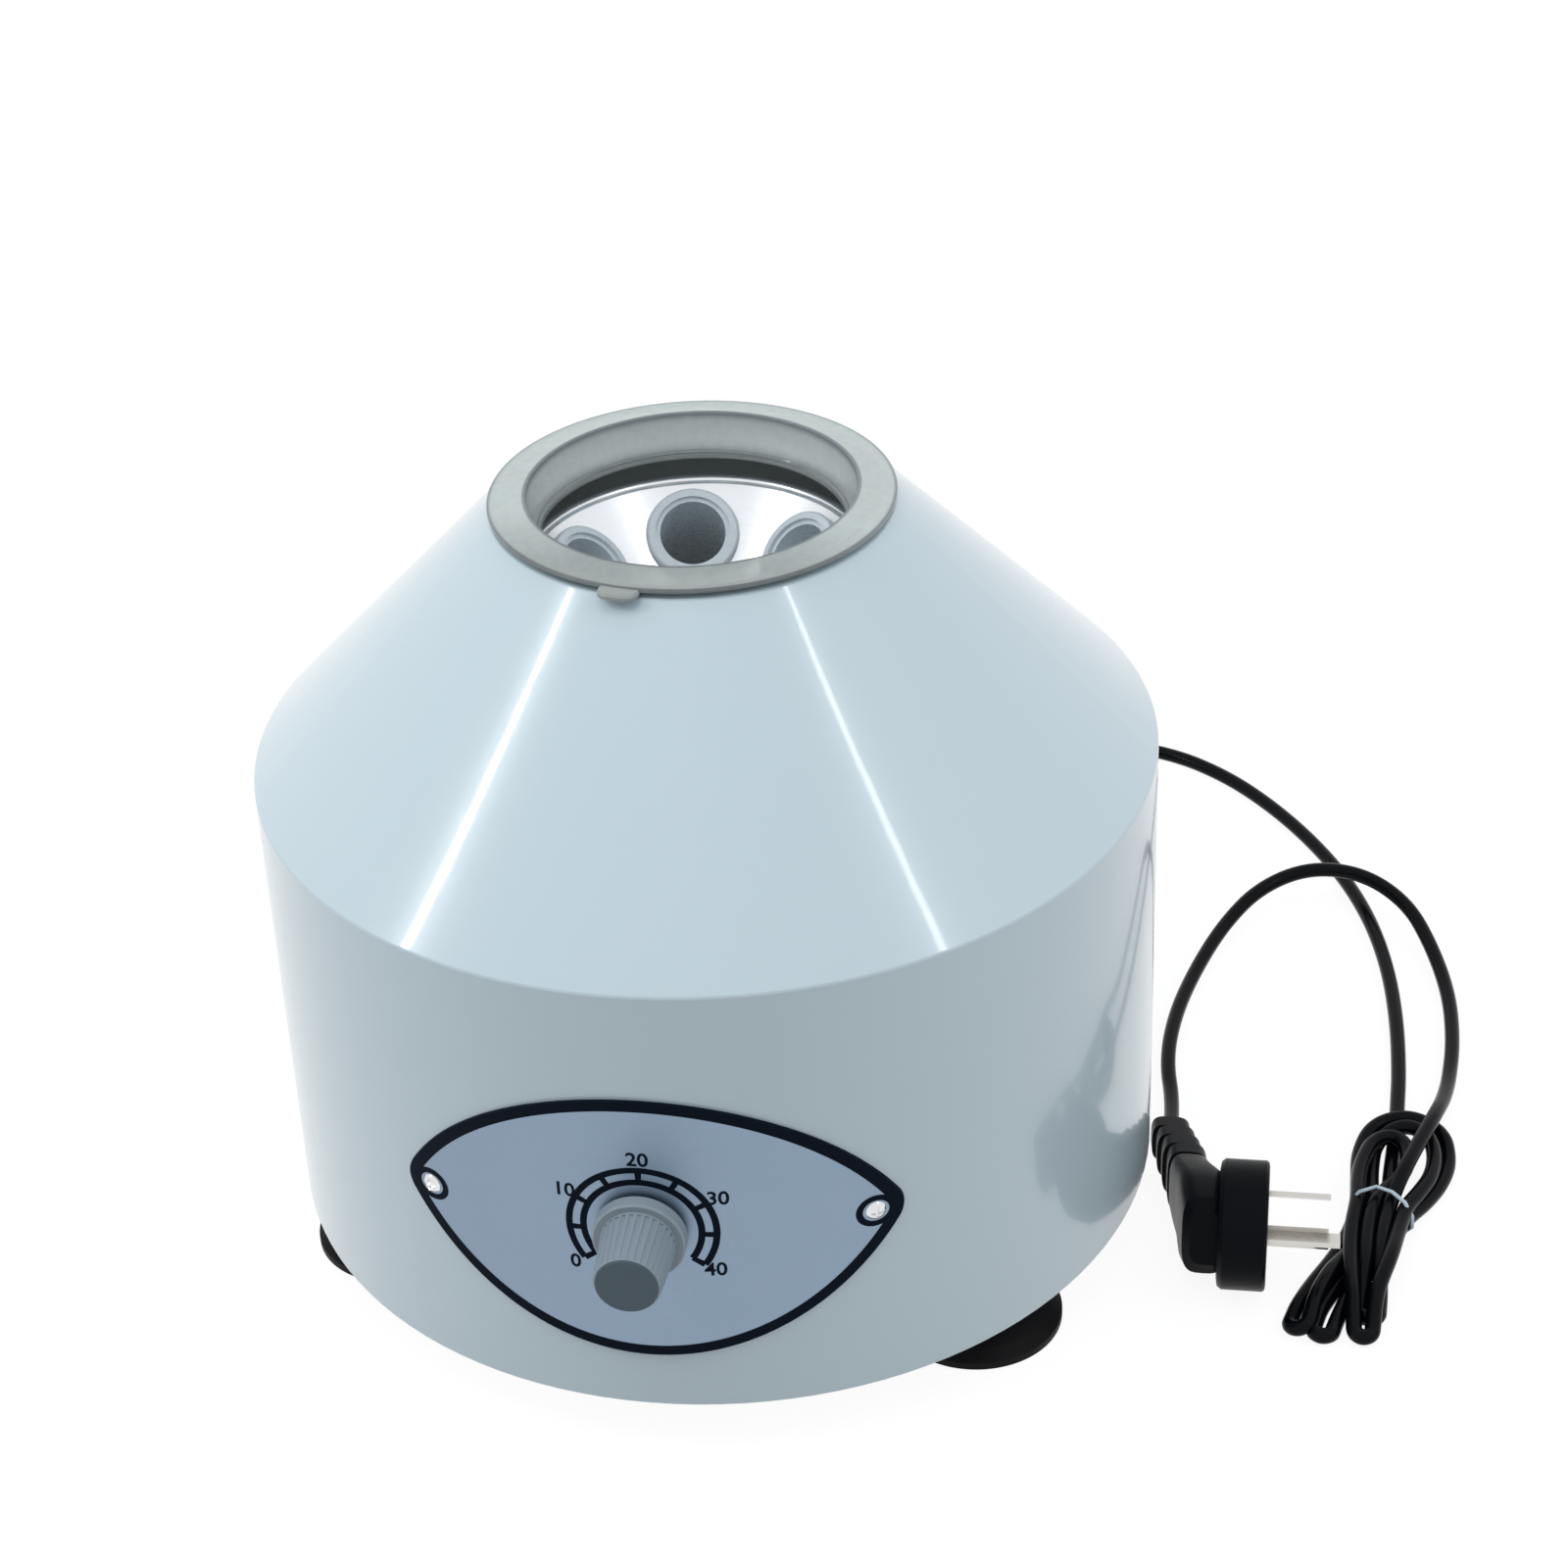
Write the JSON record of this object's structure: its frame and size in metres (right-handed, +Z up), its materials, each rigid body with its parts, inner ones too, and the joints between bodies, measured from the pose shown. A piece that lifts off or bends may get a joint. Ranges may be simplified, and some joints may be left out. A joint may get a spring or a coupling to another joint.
{
  "type": "benchtop centrifuge",
  "caption": "Round benchtop centrifuge: conical housing, clear lift-off lid, fixed-angle tube rotor, lens-shaped dial plate with fluted speed knob, suction feet and mains cord with plug.",
  "frame": {"origin": "on the bench at the middle of the footprint, under the rotor's axis; the free cord, its hank and its plug are not counted in the footprint", "axes": "+Z up along the rotor's axis, -Y out of the front through the speed knob, +X to the right as seen by the person who works it"},
  "size_m": [0.3557, 0.4122, 0.236],
  "materials": {
    "housing_white": "smooth gloss, off-white with a pale blue-grey cast",
    "lid_clear": "clear pane with a frosted rim",
    "zinc_steel": "zinc plated",
    "rubber_black": "matt moulded rubber",
    "plate_silver": "satin with a printed dial and border",
    "knob_grey": "satin moulded",
    "cap_blue_grey": "smooth satin",
    "rotor_aluminium": "polished, faintly brushed round the axis",
    "sleeve_plastic": "milky translucent",
    "ring_grey": "matt anodised with printed digits",
    "bright_chrome": "mirror plated",
    "shaft_steel": "ground",
    "bearing_steel": "polished",
    "cast_aluminium": "as cast",
    "can_steel": "dark grey paint",
    "core_steel": "laminated, oiled",
    "copper_wire": "enamelled copper",
    "commutator_copper": "turned copper",
    "brass_plain": "plain",
    "carbon": "pressed carbon",
    "fan_plastic": "moulded",
    "board_green": "glass-filled laminate",
    "post_plastic": "moulded",
    "sink_aluminium": "dark anodised",
    "capacitor_yellow": "moulded case",
    "wire_grey": "insulated wire",
    "pot_steel": "pressed case",
    "cord_black": "satin sheath",
    "plug_black": "moulded",
    "pin_metal": "plated",
    "tie_white": "coated twist band"
  },
  "bodies": {
    "base": {"housing_shell": "housing_white", "base_plate": "zinc_steel", "base_screws": "zinc_steel", "foot_left": "rubber_black", "foot_right": "rubber_black", "foot_rear": "rubber_black", "foot_bolts": "zinc_steel", "dial_plate": "plate_silver", "dial_plate_screws": "bright_chrome", "speed_pot": "pot_steel", "pot_nut": "zinc_steel", "bearing_outer_rings": "bearing_steel", "bearing_balls": "bearing_steel", "motor_bottom_cap": "cast_aluminium", "motor_can": "can_steel", "motor_top_cap": "cast_aluminium", "motor_tie_bolts": "zinc_steel", "stator_core": "core_steel", "field_coils": "copper_wire", "brush_holders": "brass_plain", "carbon_brushes": "carbon", "brush_springs": "zinc_steel", "motor_bracket": "zinc_steel", "mount_bushes": "rubber_black", "mount_bolts": "zinc_steel", "control_board": "board_green", "board_posts": "post_plastic", "triac_heatsink": "sink_aluminium", "board_capacitor": "capacitor_yellow", "internal_wires": "wire_grey", "cord_gland": "rubber_black", "cord_tail": "cord_black", "cord_lead": "cord_black", "cord_hank": "cord_black", "hank_tie": "tie_white", "plug_body": "plug_black", "plug_pins": "pin_metal"},
    "rotor": {"rotor_dish": "rotor_aluminium", "rotor_skirt": "rotor_aluminium", "rotor_floor": "rotor_aluminium", "rotor_hub": "cast_aluminium", "tube_sleeve_1": "sleeve_plastic", "tube_sleeve_2": "sleeve_plastic", "tube_sleeve_3": "sleeve_plastic", "tube_sleeve_4": "sleeve_plastic", "tube_sleeve_5": "sleeve_plastic", "tube_sleeve_6": "sleeve_plastic", "number_ring": "ring_grey", "rotor_washer": "rubber_black", "dome_nut": "bright_chrome", "motor_shaft": "shaft_steel", "bearing_inner_rings": "bearing_steel", "armature_core": "core_steel", "armature_windings": "copper_wire", "commutator": "commutator_copper", "cooling_fan": "fan_plastic"},
    "lid": {"lid": "lid_clear"},
    "knob": {"speed_knob": "knob_grey", "knob_cap": "cap_blue_grey", "pot_shaft": "shaft_steel"}
  },
  "joints": [
    {"name": "lid_lift", "type": "slide", "parent": "base", "child": "lid", "axis": [0, 0, 1], "range_m": [0, 0.12]},
    {"name": "speed_knob_turn", "type": "hinge", "parent": "base", "child": "knob", "pos_m": [0, -0.13, 0.0803], "axis": [0, 1, 0], "range_deg": [0, 250]},
    {"name": "rotor_spin", "type": "hinge", "parent": "base", "child": "rotor", "pos_m": [0, 0, 0.12], "axis": [0, 0, 1], "continuous": true}
  ]
}
